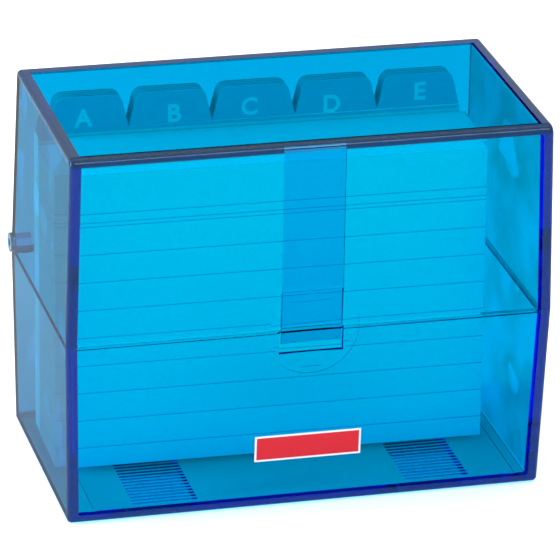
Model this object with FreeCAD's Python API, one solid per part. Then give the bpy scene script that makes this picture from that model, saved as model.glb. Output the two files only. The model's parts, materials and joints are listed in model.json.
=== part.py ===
import FreeCAD, Part
import math
import os

# Index card box, closed: translucent hinged-lid box for A7 cards with a lettered guide set.
# Origin: middle of the resting face. +X right, +Y to the hinge, +Z up. Lengths in mm.

# cards and guides
card_width = 103.0
card_height = 74.0
card_count = 100
card_pitch = 0.20
card_thickness = 0.19
card_shuffle = 0.30
guide_trim = 1.0
guide_body_height = 75.6
guide_pitch = 0.22
guide_thickness = 0.20
tab_columns = 5
tab_rows = 5
tab_height = 8.2
tab_flank = 2.0
tab_corner = 2.5
guide_clearance = 0.30
seat_gap = 0.30
yaw_angle = 0.8

# room that the box leaves round its contents
left_room = 3.45
right_room = 5.45
front_room = 24.05
back_room = 8.80
head_room = 3.85
lean_gap = 2.35

# casing
wall = 3.0
back_wall = 2.2
floor_thickness = 2.15
top_thickness = 2.1
base_height = 46.0
parting_gap = 0.06
edge_round = 1.2
brow_round = 2.5
side_draft = 1.25
end_draft = 1.76
overrun = 5.0

# stepped rim and the lip that drops inside it
rim_land_share = 0.64
lip_clearance = 0.10
lip_height = 1.1
lip_floor_gap = 0.15
lip_break = 16.2

# recessed front band and latch tongue
band_width = 14.9
band_recess = 0.35
slit_width = 0.20
tongue_free_height = 9.5
tongue_drop = 3.5
tongue_tip_share = 0.30
tongue_gap = 0.20
tongue_shelf_gap = 0.25
tongue_root_gap = 0.05
finger_gap = 2.65
pocket_width = 15.6

# thumb dish
dish_radius = 11.5
dish_depth_share = 0.27
dish_step = 0.18

# hinges
ear_radius = 2.4
ear_offset_share = 0.62
base_ear_length = 3.6
lid_ear_length = 3.8
ear_gap = 0.20
ear_relief = 0.25
pivot_radius = 1.0
pivot_clearance = 0.06
pivot_setback = 0.30

# floor pattern
rib_start_share = 0.467
rib_end_share = 0.753
rib_pitch = 1.65
rib_width = 0.95
rib_depth_share = 0.25
rib_margin = 0.6
side_groove_inset = 2.3
side_groove_width = 1.6
side_groove_depth_share = 0.12

# label
label_width = 26.0
label_height = 6.6
label_thickness = 0.15
label_bottom = 12.2

# worked out
guide_count = tab_columns * tab_rows
guide_width = card_width - guide_trim
guide_height = guide_body_height + tab_height
tab_pitch = card_width / tab_columns
guide_foot = card_count * card_pitch + guide_clearance
stack_depth = guide_foot + guide_count * guide_pitch
inner_width = left_room + card_width + right_room
inner_depth = front_room + stack_depth + back_room
box_width = inner_width + 2 * wall
box_depth = wall + inner_depth + back_wall
box_height = floor_thickness + seat_gap + guide_height + head_room + top_thickness
side_slope = math.tan(math.radians(side_draft))
end_slope = math.tan(math.radians(end_draft))
stack_x = (left_room - right_room) / 2
stack_y = wall + front_room - box_depth / 2
seat_z = floor_thickness + seat_gap
root_z = base_height + tongue_free_height
pocket_floor_z = base_height - tongue_drop - finger_gap
hinge_y = box_depth / 2 + ear_radius * ear_offset_share
X_AXIS = FreeCAD.Vector(1, 0, 0)
Y_AXIS = FreeCAD.Vector(0, 1, 0)
Z_AXIS = FreeCAD.Vector(0, 0, 1)


def half_depth(z):
    """Distance of the front or back outer face from the middle at height z."""
    return box_depth / 2 - abs(z - base_height) * end_slope


def half_width(z):
    """Distance of a side's outer face from the middle at height z."""
    return box_width / 2 - abs(z - base_height) * side_slope


def lean_angle():
    """Angle that takes the rear guide's tab to within the lean gap of the back wall."""
    top_z = seat_z + guide_height
    yaw_shift = card_width / 2 * math.sin(math.radians(yaw_angle))
    wall_y = half_depth(top_z) - back_wall
    rear_foot_y = stack_y + stack_depth
    return math.degrees(math.asin((wall_y - lean_gap - yaw_shift - rear_foot_y) / guide_height))


def rectangle(half_x, low_y, high_y, z):
    points = [(-half_x, low_y), (half_x, low_y), (half_x, high_y), (-half_x, high_y)]
    corners = [FreeCAD.Vector(x, y, z) for x, y in points]
    return Part.makePolygon(corners + corners[:1])


def drafted_block(z_low, z_high, share=0):
    """Block between two heights that follows the drafted casing, moved in by a share of its walls."""
    ends = []
    for z in (z_low, z_high):
        low_y = wall * share - half_depth(z)
        high_y = half_depth(z) - back_wall * share
        ends.append(rectangle(half_width(z) - wall * share, low_y, high_y, z))
    return Part.makeLoft(ends, True, True)


def straight_block(z_low, z_high, share, clearance=0):
    """Upright block as wide as the casing at the rim, moved in by a share of its walls."""
    inset = wall * share + clearance
    depth = box_depth - inset - back_wall * share - clearance
    corner = FreeCAD.Vector(inset - box_width / 2, inset - box_depth / 2, z_low)
    return Part.makeBox(box_width - 2 * inset, depth, z_high - z_low, corner)


def prism_along_x(outline, x_low, x_high):
    """Solid of an outline in (y, z), drawn along X."""
    corners = [FreeCAD.Vector(x_low, y, z) for y, z in outline]
    face = Part.Face(Part.makePolygon(corners + corners[:1]))
    return face.extrude(X_AXIS * (x_high - x_low))


def rod_along_x(radius, x_low, x_high, y=0, z=0):
    return Part.makeCylinder(radius, x_high - x_low, FreeCAD.Vector(x_low, y, z), X_AXIS)


def along_front(edge):
    """Whether an edge runs along X on the front half."""
    start, end = edge.Vertexes[0].Point, edge.Vertexes[-1].Point
    return start.y < 0 and abs(start.y - end.y) < parting_gap and abs(start.x - end.x) > wall


def round_brow(block):
    """Rounds the upper front edge of the lid's block."""
    high = block.BoundBox.ZMax - parting_gap
    edges = [edge for edge in block.Edges if along_front(edge) and edge.Vertexes[0].Z > high]
    return block.makeFillet(brow_round, edges)


def round_outside(block, flat_z, front_too=True):
    """Rounds a block's edges but those of its open face and, where asked, those along the front."""
    def meets_open_face(edge):
        return all(abs(v.Point.z - flat_z) < parting_gap / 2 for v in edge.Vertexes)
    edges = [edge for edge in block.Edges if not meets_open_face(edge)]
    return block.makeFillet(edge_round, [edge for edge in edges if front_too or not along_front(edge)])


def mirrored(shape):
    return shape.mirror(FreeCAD.Vector(0, 0, 0), X_AXIS)


def both_sides(shape):
    return shape.fuse(mirrored(shape))


def thumb_dish(lean):
    """Shallow dish with a stepped rim, square to a front face that leans back by an angle."""
    tilt = FreeCAD.Rotation(X_AXIS, -lean)
    outward = tilt.multVec(-Y_AXIS)
    depth = wall * dish_depth_share
    radius = (dish_radius ** 2 + depth ** 2) / (2 * depth)
    rim_point = FreeCAD.Vector(0, -box_depth / 2, base_height)
    ball = Part.makeSphere(radius, rim_point + outward * (radius - depth))
    inside = Part.makeCylinder(dish_radius, wall + overrun, rim_point - outward * wall, outward)
    step = Part.makeCylinder(dish_radius, dish_step + overrun, rim_point - outward * dish_step, outward)
    return ball.common(inside).fuse(step)


def rib_strip():
    """Row of grooves across one strip of the floor, on the right."""
    floor_half_width = half_width(floor_thickness) - wall
    floor_half_depth = half_depth(floor_thickness) - wall - rib_margin
    x_low = floor_half_width * rib_start_share
    x_high = floor_half_width * rib_end_share
    bottom = floor_thickness * (1 - rib_depth_share)
    top = floor_thickness + floor_thickness * rib_depth_share
    count = int(2 * floor_half_depth / rib_pitch)
    grooves = []
    for k in range(count):
        y = (k - (count - 1) / 2) * rib_pitch
        outline = [(y - rib_width, top), (y, bottom), (y + rib_width, top)]
        grooves.append(prism_along_x(outline, x_low, x_high))
    return Part.makeCompound(grooves)


def side_groove():
    """Shallow groove along the floor beside the right wall."""
    x_high = half_width(floor_thickness) - wall - side_groove_inset
    half_y = half_depth(floor_thickness) - wall - rib_margin
    depth = floor_thickness * side_groove_depth_share
    corner = FreeCAD.Vector(x_high - side_groove_width, -half_y, floor_thickness - depth)
    return Part.makeBox(side_groove_width, 2 * half_y, 2 * depth, corner)


def ear_spans():
    """X spans of the right base ear and of the lid ear beside it."""
    outer = box_width / 2
    inner = outer - base_ear_length
    return (inner, outer), (inner - ear_gap - lid_ear_length, inner - ear_gap)


def base_shell():
    (base_low, base_high), (lid_low, lid_high) = ear_spans()
    shell = round_outside(drafted_block(0, base_height), base_height)
    ear = rod_along_x(ear_radius, base_low, base_high, hinge_y, base_height)
    shell = shell.fuse(both_sides(ear))
    shell = shell.cut(drafted_block(floor_thickness, base_height, 1))
    shell = shell.cut(straight_block(base_height, base_height + overrun, 1))
    step_z = base_height - lip_height - lip_floor_gap
    shell = shell.cut(straight_block(step_z, base_height, rim_land_share))
    relief = rod_along_x(ear_radius + ear_relief, lid_low - ear_gap, lid_high + ear_gap / 2,
                         hinge_y, base_height)
    bore = rod_along_x(pivot_radius + pivot_clearance, base_low - ear_gap, base_high + overrun,
                       hinge_y, base_height)
    cuts = [both_sides(relief), both_sides(bore), pocket(), thumb_dish(-end_draft),
            both_sides(rib_strip()), both_sides(side_groove())]
    for cut in cuts:
        shell = shell.cut(cut)
    return shell.removeSplitter()


def pocket():
    """Pocket in the base's front for the tongue's tip, open at the rim."""
    depth = band_recess + wall * tongue_tip_share + tongue_gap
    low = pocket_floor_z
    high = base_height + overrun
    front = -box_depth / 2
    outline = [(front - overrun, low), (depth - half_depth(low), low), (front + depth, high),
               (front - overrun, high)]
    return prism_along_x(outline, -pocket_width / 2, pocket_width / 2)


def lid_lip():
    """Lip under the lid, inside the step of the base's rim and broken at the latch."""
    low = base_height - lip_height
    high = base_height + parting_gap
    ring = straight_block(low, high, rim_land_share, lip_clearance)
    ring = ring.cut(straight_block(low, high, 1))
    gap = Part.makeBox(lip_break, 2 * wall, high - low,
                       FreeCAD.Vector(-lip_break / 2, -box_depth / 2, low))
    return ring.cut(gap)


def lid_shell():
    (base_low, base_high), (lid_low, lid_high) = ear_spans()
    low = base_height + parting_gap
    shell = round_outside(round_brow(drafted_block(low, box_height)), low, False)
    shell = shell.cut(drafted_block(low, box_height - top_thickness, 1))
    shell = shell.fuse(lid_lip())
    relief = rod_along_x(ear_radius + ear_relief, base_low - ear_gap / 2, base_high + overrun,
                         hinge_y, base_height)
    shell = shell.cut(both_sides(relief))
    ear = rod_along_x(ear_radius, lid_low, lid_high, hinge_y, base_height)
    stub = rod_along_x(pivot_radius, lid_low, base_high - pivot_setback, hinge_y, base_height)
    shell = shell.fuse(both_sides(ear.fuse(stub)))
    for cut in (band(), tongue_window(), thumb_dish(end_draft)):
        shell = shell.cut(cut)
    return shell.removeSplitter()


def band():
    """Recess down the middle of the lid's front."""
    low = base_height - lip_height
    high = box_height + overrun
    outline = [(-box_depth / 2 - overrun, low), (-box_depth / 2 + band_recess, low),
               (-half_depth(high) + band_recess, high), (-box_depth / 2 - overrun, high)]
    return prism_along_x(outline, -band_width / 2, band_width / 2)


def tongue_window():
    """Opening in the lid's front, with the slits beside the tongue."""
    corner = FreeCAD.Vector(-band_width / 2, -box_depth / 2 - overrun, base_height - lip_height)
    return Part.makeBox(band_width, overrun + 2 * wall, root_z - base_height + lip_height, corner)


def latch_tongue():
    """Free end of the front band: full thickness above the rim, thin where it enters the pocket."""
    root = root_z - tongue_root_gap
    shelf = base_height + tongue_shelf_gap
    tip = base_height - tongue_drop
    tip_thickness = wall * tongue_tip_share

    def front(z):
        return -box_depth / 2 + (z - base_height) * end_slope + band_recess

    def back(z):
        return front(z) + wall - band_recess
    outline = [(front(tip), tip), (front(root), root), (back(root), root), (back(shelf), shelf),
               (front(shelf) + tip_thickness, shelf), (front(tip) + tip_thickness, tip)]
    half = band_width / 2 - slit_width
    return prism_along_x(outline, -half, half).cut(thumb_dish(end_draft))


def label_plate():
    """Thin plate on the base's front."""
    top = label_bottom + label_height
    low_y = -half_depth(label_bottom)
    high_y = -half_depth(top)
    outline = [(low_y - label_thickness, label_bottom), (low_y, label_bottom),
               (high_y, top), (high_y - label_thickness, top)]
    return prism_along_x(outline, -label_width / 2, label_width / 2)


def stood_in_stack(sheet, offset, shift=0):
    """Leans a flat sheet back, moves it into the stack and turns it with the stack."""
    sheet.rotate(FreeCAD.Vector(0, 0, 0), X_AXIS, -lean_angle())
    sheet.translate(FreeCAD.Vector(shift - card_width / 2, offset, 0))
    sheet.rotate(FreeCAD.Vector(0, 0, 0), Z_AXIS, -yaw_angle)
    sheet.translate(FreeCAD.Vector(stack_x, stack_y, seat_z))
    return sheet


def index_card(k):
    card = Part.makeBox(card_width, card_thickness, card_height)
    shift = card_shuffle * math.sin(k * math.sqrt(2) * math.pi)
    return stood_in_stack(card, k * card_pitch, shift)


def tab(column):
    """One tab with sloping flanks and rounded shoulders; the first column is cut at the guide's edge."""
    high = guide_width - (tab_columns - 1 - column) * tab_pitch
    low = max(high - tab_pitch, 0)
    top = guide_height
    outline = [(low, guide_body_height), (high, guide_body_height),
               (high - tab_flank, top), (low + tab_flank, top)]
    corners = [FreeCAD.Vector(x, 0, z) for x, z in outline]
    plate = Part.Face(Part.makePolygon(corners + corners[:1])).extrude(Y_AXIS * guide_thickness)
    shoulders = []
    for edge in plate.Edges:
        start, end = (vertex.Point for vertex in edge.Vertexes)
        if start.z > guide_body_height + tab_height / 2 and abs(start.y - end.y) > guide_thickness / 2:
            shoulders.append(edge)
    return plate.makeFillet(tab_corner, shoulders)


def guide(k):
    body = Part.makeBox(guide_width, guide_thickness, guide_body_height)
    sheet = body.fuse(tab(k % tab_columns)).removeSplitter()
    return stood_in_stack(sheet, guide_foot + k * guide_pitch)


def save(name, shape):
    shape.exportStep(os.path.join("parts", name + ".step"))
    print(name, len(shape.Solids), "solids", round(shape.Volume), "mm3", "valid", shape.isValid())


os.makedirs("parts", exist_ok=True)
save("base_shell", base_shell())
save("lid_shell", lid_shell())
save("latch_tongue", latch_tongue())
save("label_plate", label_plate())
save("front_card", index_card(0))
save("index_cards", Part.makeCompound([index_card(k) for k in range(1, card_count)]))
for number in range(guide_count):
    save("guide_%02d" % (number + 1), guide(number))
print("box %.2f %.2f %.2f lean %.2f" % (box_width, box_depth, box_height, lean_angle()))
print("hinge y %.3f tongue root y %.3f z %.3f" % (hinge_y, band_recess - half_depth(root_z), root_z))
print("stack %.3f %.3f %.3f guides %.3f" % (stack_x, stack_y, seat_z, guide_foot))
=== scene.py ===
import json
import math
import bpy
from mathutils import Matrix, Vector


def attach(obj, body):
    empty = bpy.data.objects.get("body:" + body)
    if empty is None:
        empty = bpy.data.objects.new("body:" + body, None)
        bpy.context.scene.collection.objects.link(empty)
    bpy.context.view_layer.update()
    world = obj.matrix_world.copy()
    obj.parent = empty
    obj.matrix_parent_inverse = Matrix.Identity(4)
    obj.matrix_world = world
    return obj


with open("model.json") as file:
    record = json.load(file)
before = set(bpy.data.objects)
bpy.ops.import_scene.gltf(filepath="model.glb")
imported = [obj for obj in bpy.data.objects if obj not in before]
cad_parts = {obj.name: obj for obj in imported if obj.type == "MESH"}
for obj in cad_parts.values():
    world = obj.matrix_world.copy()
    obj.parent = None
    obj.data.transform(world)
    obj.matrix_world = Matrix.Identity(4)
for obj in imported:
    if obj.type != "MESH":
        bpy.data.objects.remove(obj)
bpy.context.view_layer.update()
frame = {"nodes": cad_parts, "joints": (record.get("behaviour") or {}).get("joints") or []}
nodes = frame["nodes"]
mm = 0.001


class Wire:  # one output in a material's node tree, with + - * / for shader maths
    def __init__(self, tree, out=None):
        self.tree, self.out = tree, out

    def node(self, kind, settings, sockets, pick=0):  # any node: settings first, then values or links
        made = self.tree.nodes.new(kind)
        for name, value in settings.items():
            setattr(made, name, value)
        for name, value in sockets.items():
            if isinstance(value, Wire):
                self.tree.links.new(value.out, made.inputs[name])
            else:
                made.inputs[name].default_value = value
        return Wire(self.tree, made.outputs[pick])

    def maths(self, operation, *others):  # this value comes first, then the others
        sockets = dict(enumerate((self, *others)))
        return self.node("ShaderNodeMath", {"operation": operation}, sockets)

    def clamped(self, low, high):  # 0 at low and below, 1 at high and above
        return self.node("ShaderNodeMapRange", {}, {"Value": self, "From Min": low, "From Max": high})

    def __add__(self, other):
        return self.maths("ADD", other)

    def __sub__(self, other):
        return self.maths("SUBTRACT", other)

    def __rsub__(self, other):
        return self.node("ShaderNodeMath", {"operation": "SUBTRACT"}, {0: other, 1: self})

    def __mul__(self, other):
        return self.maths("MULTIPLY", other)

    def __truediv__(self, other):
        return self.maths("DIVIDE", other)

    __radd__ = __add__
    __rmul__ = __mul__


def newMaterial(name):  # an empty node tree and a wire to build it with
    made = bpy.data.materials.new(name)
    made.use_nodes = True
    made.node_tree.nodes.clear()
    return made, Wire(made.node_tree)


def closeTree(w, kind, ends):  # the output node of a material or a world
    made = w.tree.nodes.new(kind)
    for name, end in ends.items():
        w.tree.links.new(end.out, made.inputs[name])


def closeMaterial(w, surface):
    closeTree(w, "ShaderNodeOutputMaterial", {"Surface": surface})


def wear(piece, material):  # the whole piece takes one material
    piece.data.materials.clear()
    piece.data.materials.append(material)


def ray(w, kind):  # 1 for one kind of light path
    return w.node("ShaderNodeLightPath", {}, {}, f"Is {kind} Ray")


def noise(w, coords, scale, detail):
    return w.node("ShaderNodeTexNoise", {}, {"Vector": coords, "Scale": scale, "Detail": detail})


plastic = {
    "ior": 1.59,
    "tint": (0.6, 0.85, 1.0),
    "absorbed": (0.0, 0.949, 0.995),
    "density": 1600.0,
    "flowScale": 60.0,  # how the moulding's skin varies
    "flowDetail": 2.0,
    "flowRange": (0.3, 0.9),
    "rough": 0.03,
    "waves": 0.015,
    "waveDepth": 0.2 * mm,
    "sheenFrom": 0.215,
    "sheenTo": 0.9,
    "loss": 0.9,  # share of the light turned back at a surface that goes missing
    "shineFrom": 0.035,
    "shine": 0.6,
    "polish": 0.04,  # roughness of the bright line along an edge
    "paintedEdge": 0.5,  # share of the painted navy edge shade, a diffuse colour laid over the thick edges
    # colour of the painted edge shade
    "paintedEdgeColour": (0.015, 0.066, 0.15),
    "plainColour": (1.0, 0.99, 1.0),
    "bandColour": (0.0, 0.74, 0.93),
    "backColour": (0.0, 0.82, 0.91),
    # painted shade for the side walls
    "sideShadeColour": (0.0, 0.9, 1.0),
    "topColour": (0.0, 0.9, 1.0),
    # painted shadow: tint for the ground under the box seen through its bottom face
    "footShadowColour": (0.0, 0.65, 0.52),
    # painted shade along the lid's rounded front top edge
    "browShadeColour": (0.0, 0.06, 0.2),
}
box = {  # the casing's outside, and how far in its painted dark edges reach
    "halfWide": 58.95 * mm,
    "halfDeep": 31.925 * mm,
    "tall": 92.2 * mm,
    "widest": 46.0 * mm,
    "sideSlope": math.tan(math.radians(1.25)),
    "endSlope": math.tan(math.radians(1.76)),
    "roundEdge": 1.2 * mm,
    "sideEdge": 2.65 * mm,
    "frontEdge": 1.95 * mm,
    "backEdge": 3.6 * mm,
    "floorEdge": 2.1 * mm,
    "brow": 2.0 * mm,
    "frontFace": -29.5 * mm,
    "backFace": 27.5 * mm,
    "bandHalf": 7.45 * mm,
    "bandDeep": 0.95 * mm,
    "tongueTip": 42.4 * mm,
    "skin": 0.24 * mm,
    "soft": 0.12 * mm,
}


def axes(w, mapping=None):  # x, y and z of the object, or of a frame set in it
    coords = w.node("ShaderNodeTexCoord", {}, {}, "Object")
    if mapping is not None:
        coords = w.node("ShaderNodeMapping", {"vector_type": "TEXTURE"}, {"Vector": coords, **mapping})
    return [w.node("ShaderNodeSeparateXYZ", {}, {0: coords}, axis) for axis in "XYZ"] + [coords]


def within(value, low, high, soft):  # 1 between low and high, with soft ends
    return value.clamped(low - soft, low + soft) * (1 - value.clamped(high - soft, high + soft))


def under(value, limit):  # 1 below the limit, with a soft end
    return value.clamped(limit + box["soft"], limit - box["soft"])


def largest(first, *others):
    for other in others:
        first = first.maths("MAXIMUM", other)
    return first


def fromWidest(z):  # height from the parting, where the casing is widest
    return (z - box["widest"]).maths("ABSOLUTE")


def edgeShares(x, y, z):  # edges where a wall is seen along its length, which take the painted edge shade and the edge gloss, and the side walls
    away = fromWidest(z)
    side = box["halfWide"] - away * box["sideSlope"] - x.maths("ABSOLUTE")
    end = box["halfDeep"] - away * box["endSlope"] - y.maths("ABSOLUTE")
    level = z.maths("MINIMUM", box["tall"] - z)
    onSide = side.maths("LESS_THAN", end.maths("MINIMUM", level))
    onTop = level.maths("LESS_THAN", end.maths("MINIMUM", side))
    low, high = side.maths("MINIMUM", end), side.maths("MAXIMUM", end)
    middle = low.maths("MAXIMUM", high.maths("MINIMUM", level))
    ahead = y.maths("LESS_THAN", 0.0)
    nearEnd = ahead * under(end, box["frontEdge"]) + (1 - ahead) * under(end, box["backEdge"])
    nearSide = (1 - onSide) * under(side, box["sideEdge"])
    nearFloor = (1 - onSide) * (1 - onTop) * under(level, box["floorEdge"])
    return largest(under(middle, box["roundEdge"]), nearSide, onTop * nearEnd, nearFloor), onSide


def frontShares(x, y, z):  # the front edge of the lid with its painted dark shade, and the band with its tongue
    depth = y + box["halfDeep"] - fromWidest(z) * box["endSlope"]
    band = under(x.maths("ABSOLUTE"), box["bandHalf"])
    brow = under(y, box["frontFace"]) * (1 - under(z, box["tall"] - box["brow"]))
    return brow * (1 - band), band * under(depth, box["bandDeep"]) * (1 - under(z, box["tongueTip"]))


def plasticMaterial():
    made, w = newMaterial("blue_polystyrene")
    x, y, z, coords = axes(w)
    flow = noise(w, coords, plastic["flowScale"], plastic["flowDetail"])
    relief = {"Height": flow, "Strength": plastic["waves"], "Distance": plastic["waveDepth"]}
    fresnel = w.node("ShaderNodeFresnel", {}, {"IOR": plastic["ior"]})
    finish = {
        "Base Color": (1, 1, 1, 1),
        "Roughness": flow.clamped(*plastic["flowRange"]) * plastic["rough"],
        "IOR": plastic["ior"],
        "Specular Tint": (*plastic["tint"], 1),
        "Transmission Weight": 1.0,
        "Normal": w.node("ShaderNodeBump", {}, relief),
    }
    glass = w.node("ShaderNodeBsdfPrincipled", {}, finish)

    def through(colour):  # light that passes a surface, with one constant tint
        sockets = {"Color": (*colour, 1), "Roughness": 0.0, "IOR": plastic["ior"]}
        return w.node("ShaderNodeBsdfRefraction", {}, sockets)

    def mixed(factor, first, second):
        return w.node("ShaderNodeMixShader", {}, {0: factor, 1: first, 2: second})

    brow, band = frontShares(x, y, z)
    edge, side = edgeShares(x, y, z)
    edge = largest(edge, brow)
    tints = (
        (band, "bandColour"),
        (1 - under(y, box["backFace"]), "backColour"),
        # painted shade: what is seen through the side walls at a slant is tinted darker
        (side, "sideShadeColour"),
        (1 - under(z, box["tall"] - box["skin"]), "topColour"),
        # painted shadow: what is seen through the bottom face, the ground under the box, is tinted darker
        (under(z, box["skin"]), "footShadowColour"),
        # painted shade: the lid's rounded front top edge is tinted dark navy
        (brow, "browShadeColour"),
    )
    plain = through(plastic["plainColour"])
    for share, name in tints:
        plain = mixed(share, plain, through(plastic[name]))
    plain = mixed(fresnel * plastic["loss"], plain, through((0, 0, 0)))
    sheen = fresnel.clamped(plastic["sheenFrom"], plastic["sheenTo"])
    shine = edge * (fresnel - plastic["shineFrom"]) * plastic["shine"]
    # painted edge shade: a flat navy diffuse colour standing in for the dark look of the thick edges
    paintedEdge = w.node("ShaderNodeBsdfDiffuse", {}, {"Color": (*plastic["paintedEdgeColour"], 1)})
    polish = w.node("ShaderNodeBsdfGlossy", {}, {"Color": (1, 1, 1, 1), "Roughness": plastic["polish"]})
    gloss = mixed(edge * plastic["paintedEdge"], mixed(sheen, plain, glass), paintedEdge)
    gloss = mixed(shine, gloss, polish)
    clear = w.node("ShaderNodeBsdfTransparent", {}, {"Color": (1, 1, 1, 1)})
    inside = mixed(ray(w, "Diffuse"), gloss, clear)  # light on the cards comes straight through
    surface = mixed(ray(w, "Shadow"), inside, clear)
    depth = {"Color": (*plastic["absorbed"], 1), "Density": plastic["density"]}
    volume = w.node("ShaderNodeVolumeAbsorption", {}, depth)
    closeTree(w, "ShaderNodeOutputMaterial", {"Surface": surface, "Volume": volume})
    return made


cardsTilt = next(joint for joint in frame["joints"] if joint["name"] == "cards_tilt")
stack = {  # where the cards stand, how they lean and turn
    "place": tuple(cardsTilt["pos_m"]),
    "lean": math.radians(3.07),
    "turn": math.radians(0.8),
}
stackFrame = {"Location": stack["place"], "Rotation": (-stack["lean"], 0, -stack["turn"])}
paper = {
    "colour": (0.85, 0.85, 0.83),
    "fibre": 0.03,
    "fibreScale": 900.0,
    "fibreDetail": 3.0,
    "fibreRange": (0.35, 0.65),
    "grain": 0.15,
    "grainDepth": 0.05 * mm,
    "rough": 0.6,
    "roughSpread": 0.2,
    "line": (0.28, 0.42, 0.62),
    "lineWidth": 0.2 * mm,
    "linePitch": 7.0 * mm,
    "firstLine": 5.0 * mm,
    "lastLine": 54.0 * mm,
    "headLines": (61.0 * mm, 62.0 * mm, 64.2 * mm),
    # from this height up the cards' tops take painted shade
    "topShadeFrom": 73.88 * mm,
    "paintedTopShade": 0.35,
}
boards = {
    "colour": (0.84, 0.85, 0.85),
    "print": (0.54, 0.58, 0.71),
    "inkScale": 250.0,
    "inkDetail": 2.0,
    "ink": 0.92,
    "inkSpread": 0.12,
    "foot": 20.3 * mm,
    "left": -51.5 * mm,
    "wide": 102.0 * mm,
    "tabPitch": 20.6 * mm,
    "bodyHeight": 75.6 * mm,
    "printBelow": 0.9 * mm,
    "printCorner": 1.6 * mm,
    "pitch": 0.22 * mm,
    "columns": 5,
    "facing": -0.5,  # only faces that look to the front are printed
}


def shade(colour):  # a wire as it is, or a constant colour
    return colour if isinstance(colour, Wire) else (*colour, 1)


def mixColour(w, factor, first, second, blend="MIX"):
    settings = {"data_type": "RGBA", "blend_type": blend}
    return w.node("ShaderNodeMix", settings, {0: factor, 6: shade(first), 7: shade(second)}, 2)


def paperFinish(w, coords, colour):  # fibres in the colour, and a matt grain
    fibres = noise(w, coords, paper["fibreScale"], paper["fibreDetail"])
    darker = [1 - paper["fibre"]] * 3
    mottled = mixColour(w, fibres.clamped(*paper["fibreRange"]), colour, darker, "MULTIPLY")
    relief = {"Height": fibres, "Strength": paper["grain"], "Distance": paper["grainDepth"]}
    sockets = {
        "Base Color": mottled,
        "Roughness": paper["rough"] + fibres * paper["roughSpread"],
        "Normal": w.node("ShaderNodeBump", {}, relief),
    }
    return w.node("ShaderNodeBsdfPrincipled", {}, sockets)


def cardMaterial():
    made, w = newMaterial("ruled_card")
    x, y, z, coords = axes(w, stackFrame)
    half, soft = paper["lineWidth"] / 2, paper["lineWidth"] / 4
    pitch = paper["linePitch"]
    step = (z - paper["firstLine"] + pitch / 2) / pitch
    off = (step.maths("FRACT") - 0.5) * pitch
    body = within(z, paper["firstLine"] - pitch / 2, paper["lastLine"] + pitch / 2, soft)
    linesAndShade = within(off, -half, half, soft) * body
    for place in paper["headLines"]:
        linesAndShade = linesAndShade + within(z, place - half, place + half, soft)
    linesAndShade = linesAndShade + (1 - under(z, paper["topShadeFrom"])) * paper["paintedTopShade"]  # painted shade: the cards' tops above this height are mixed part way to the line colour
    colour = mixColour(w, linesAndShade.clamped(0, 1), paper["colour"], paper["line"])
    closeMaterial(w, paperFinish(w, coords, colour))
    return made


def guideMaterial():  # light board with a grey print along its top and over its tab
    made, w = newMaterial("guide_board")
    x, y, z, coords = axes(w, stackFrame)
    rise = boards["foot"] * math.sin(stack["lean"])  # a board further back in the lean stands higher
    bottom = boards["bodyHeight"] - boards["printBelow"] + rise
    corner = boards["printCorner"]
    left, right = boards["left"] + corner, boards["left"] + boards["wide"] - corner
    dx = largest(left - x, x - right, 0.0)
    dz = largest(bottom + corner - z, 0.0)
    away = (dx * dx + dz * dz).maths("SQRT")
    inside = under(away, corner) * (1 - under(z, bottom))
    normal = w.node("ShaderNodeTexCoord", {}, {}, "Normal")
    ahead = w.node("ShaderNodeSeparateXYZ", {}, {0: normal}, "Y")
    printed = inside * ahead.maths("LESS_THAN", boards["facing"])
    ink = boards["ink"] + noise(w, coords, boards["inkScale"], boards["inkDetail"]) * boards["inkSpread"]
    colour = mixColour(w, printed * ink, boards["colour"], boards["print"])
    closeMaterial(w, paperFinish(w, coords, colour))
    return made


label = {
    "red": (0.7, 0.01, 0.025),
    "white": (0.9, 0.9, 0.9),
    "mottle": 0.12,
    "mottleShade": 0.8,
    "grainScale": 700.0,
    "grainDetail": 2.0,
    "rough": 0.3,
    "roughSpread": 0.15,
    "specular": 0.25,
    "halfWide": 13.0 * mm,
    "bottom": 12.2 * mm,
    "top": 18.8 * mm,
    "border": 0.45 * mm,
}


def labelMaterial():
    made, w = newMaterial("label_film")
    x, y, z, coords = axes(w)
    border = label["border"]
    reach, soft = label["halfWide"] - border, border / 6
    inner = within(x, -reach, reach, soft)
    inner = inner * within(z, label["bottom"] + border, label["top"] - border, soft)
    grain = noise(w, coords, label["grainScale"], label["grainDetail"])
    darker = [value * label["mottleShade"] for value in label["red"]]
    film = mixColour(w, grain * label["mottle"], label["red"], darker)
    sockets = {
        "Base Color": mixColour(w, inner, label["white"], film),
        "Roughness": label["rough"] + grain * label["roughSpread"],
        "Specular IOR Level": label["specular"],
    }
    closeMaterial(w, w.node("ShaderNodeBsdfPrincipled", {}, sockets))
    return made


letters = {
    "single": 23,  # A to W have a tab each
    "shared": ["XY", "Z"],
    "tall": 4.5 * mm,
    "bold": 0.028,
    "lift": 0.02 * mm,
    "across": (-0.8 * mm, 0.8 * mm, -1.1 * mm, -1.2 * mm, 0.3 * mm),
    "up": (76.2 * mm, 75.9 * mm, 76.3 * mm, 75.5 * mm, 77.2 * mm),
    "colour": (0.95, 0.95, 0.95),
}


def letterMaterial():
    made, w = newMaterial("bare_board")
    closeMaterial(w, paperFinish(w, axes(w, stackFrame)[3], letters["colour"]))
    return made


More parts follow.
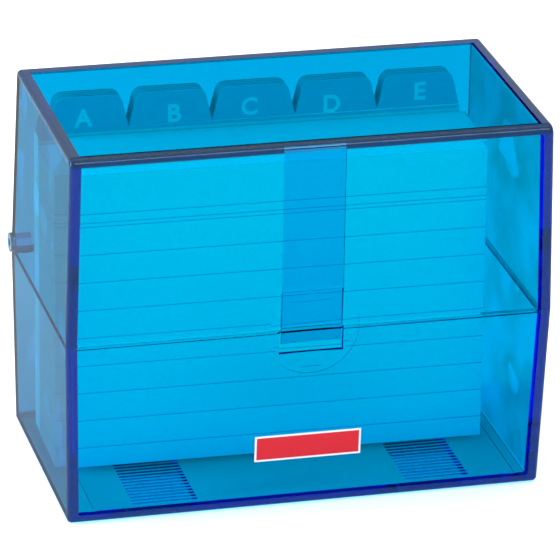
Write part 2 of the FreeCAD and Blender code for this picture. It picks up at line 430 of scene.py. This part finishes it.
def letterMesh(number, text):  # flat text as a mesh, standing on its base line
    curve = bpy.data.curves.new(f"letter_{number + 1:02d}", "FONT")
    curve.body, curve.align_x, curve.offset = text, "CENTER", letters["bold"]
    curve.size = 1.0
    rough = bpy.data.objects.new(f"rough_{number + 1:02d}", curve)
    bpy.context.scene.collection.objects.link(rough)
    mesh = bpy.data.meshes.new_from_object(rough.evaluated_get(bpy.context.evaluated_depsgraph_get()))
    bpy.data.objects.remove(rough)
    heights = [v.co.y for v in mesh.vertices]
    scale = letters["tall"] / (max(heights) - min(heights))
    mesh.transform(Matrix.Scale(scale, 4) @ Matrix.Translation((0, -min(heights), 0)))
    return mesh


def drawLetter(number, text, material):  # a letter left bare in the print of one tab
    mesh = letterMesh(number, text)
    column = number % boards["columns"]
    high = boards["left"] + boards["wide"] - (boards["columns"] - 1 - column) * boards["tabPitch"]
    middle = high - boards["tabPitch"] / 2 + letters["across"][column]
    deep = boards["foot"] + number * boards["pitch"] - letters["lift"]
    place = Matrix.Translation(stack["place"]) @ Matrix.Rotation(-stack["turn"], 4, "Z")
    place = place @ Matrix.Translation((0, deep, 0)) @ Matrix.Rotation(-stack["lean"], 4, "X")
    flat = Matrix.Translation((middle, 0, letters["up"][column])) @ Matrix.Rotation(math.pi / 2, 4, "X")
    mesh.transform(place @ flat)
    letter = bpy.data.objects.new(f"tab_letter_{number + 1:02d}", mesh)
    bpy.context.scene.collection.objects.link(letter)
    wear(letter, material)
    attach(letter, "guides")


blue, card, red = plasticMaterial(), cardMaterial(), labelMaterial()
board = guideMaterial()
for name in ("base_shell", "lid_shell", "latch_tongue"):
    wear(nodes[name], blue)
for name in ("front_card", "index_cards"):
    wear(nodes[name], card)
wear(nodes["label_plate"], red)
for name, piece in nodes.items():
    if name.startswith("guide"):
        wear(piece, board)
print("materials on")

bare = letterMaterial()
names = [chr(ord("A") + k) for k in range(letters["single"])] + letters["shared"]
for number, text in enumerate(names):
    drawLetter(number, text, bare)
print("letters on")

studio = {
    "floorSize": 6.0,
    "floorDrop": 0.3 * mm,
    "floorColour": (0.92, 0.92, 0.92),
    "floorFill": 0.25,
    "ambient": 0.6,
}
lamps = {
    "top_softbox": {"place": (0.1, 0.1, 1.3), "aim": (0, 0, 0.04), "size": (1.0, 0.8), "power": 5.0},
    "front_softbox": {"place": (0.3, -0.71, 1.04), "aim": (0, 0, 0.06), "size": (0.7, 0.2), "power": 5.5},
    "left_softbox": {"place": (-1.15, 0.22, 0.5), "aim": (0, 0, 0.05), "size": (0.5, 0.8), "power": 19.0},
}
photo = {  # the camera at the photograph's viewing angle
    "place": (-0.27176, -1.00094, 0.48828),
    "azimuth": math.radians(15.22),
    "elevation": math.radians(23.14),
    "roll": math.radians(1.51),
    "lens": 301.47,
    "sensor": 36.0,
    "near": 0.05,
    "far": 20.0,
}
bounces = {
    "max_bounces": 32,
    "transmission_bounces": 32,
    "glossy_bounces": 16,
    "transparent_max_bounces": 32,
}


def backdropShare(w):  # 1 where the backdrop is looked at, straight or in gloss and glass
    return (ray(w, "Camera") + ray(w, "Glossy") + ray(w, "Transmission")).clamped(0, 1)


def layFloor():
    bpy.ops.mesh.primitive_plane_add(size=studio["floorSize"], location=(0, 0, -studio["floorDrop"]))
    floor = bpy.context.object
    floor.name = "floor"
    made, w = newMaterial("pale_floor")
    base = w.node("ShaderNodeBsdfDiffuse", {}, {"Color": (*studio["floorColour"], 1)})
    strength = backdropShare(w) * studio["floorFill"]
    fill = w.node("ShaderNodeEmission", {}, {"Color": (1, 1, 1, 1), "Strength": strength})
    closeMaterial(w, w.node("ShaderNodeAddShader", {}, {0: base, 1: fill}))
    wear(floor, made)


def lightWorld():
    world = bpy.data.worlds.new("studio")
    bpy.context.scene.world = world
    world.use_nodes = True
    world.node_tree.nodes.clear()
    w = Wire(world.node_tree)
    share = backdropShare(w)
    strength = share + (1 - share) * studio["ambient"]
    made = w.node("ShaderNodeBackground", {}, {"Color": (1, 1, 1, 1), "Strength": strength})
    closeTree(w, "ShaderNodeOutputWorld", {"Surface": made})


def hangLamp(name, lamp):
    data = bpy.data.lights.new(name, "AREA")
    data.shape = "RECTANGLE"
    data.size, data.size_y = lamp["size"]
    data.energy = lamp["power"]
    hung = bpy.data.objects.new(name, data)
    bpy.context.scene.collection.objects.link(hung)
    way = Vector(lamp["aim"]) - Vector(lamp["place"])
    hung.matrix_world = Matrix.Translation(lamp["place"]) @ way.to_track_quat("-Z", "Y").to_matrix().to_4x4()


def setCamera():
    data = bpy.data.cameras.new("camera")
    data.lens = photo["lens"]
    data.sensor_width = photo["sensor"]
    data.clip_start, data.clip_end = photo["near"], photo["far"]
    camera = bpy.data.objects.new("camera", data)
    bpy.context.scene.collection.objects.link(camera)
    tilt = Matrix.Rotation(math.pi / 2 - photo["elevation"], 4, "X")
    turn = Matrix.Rotation(-photo["azimuth"], 4, "Z") @ tilt
    camera.matrix_world = Matrix.Translation(photo["place"]) @ turn @ Matrix.Rotation(photo["roll"], 4, "Z")
    bpy.context.scene.camera = camera


layFloor()
lightWorld()
for name, lamp in lamps.items():
    hangLamp(name, lamp)
setCamera()
scene = bpy.context.scene
scene.view_settings.view_transform = "Standard"
for name, count in bounces.items():
    setattr(scene.cycles, name, count)
print("studio set")
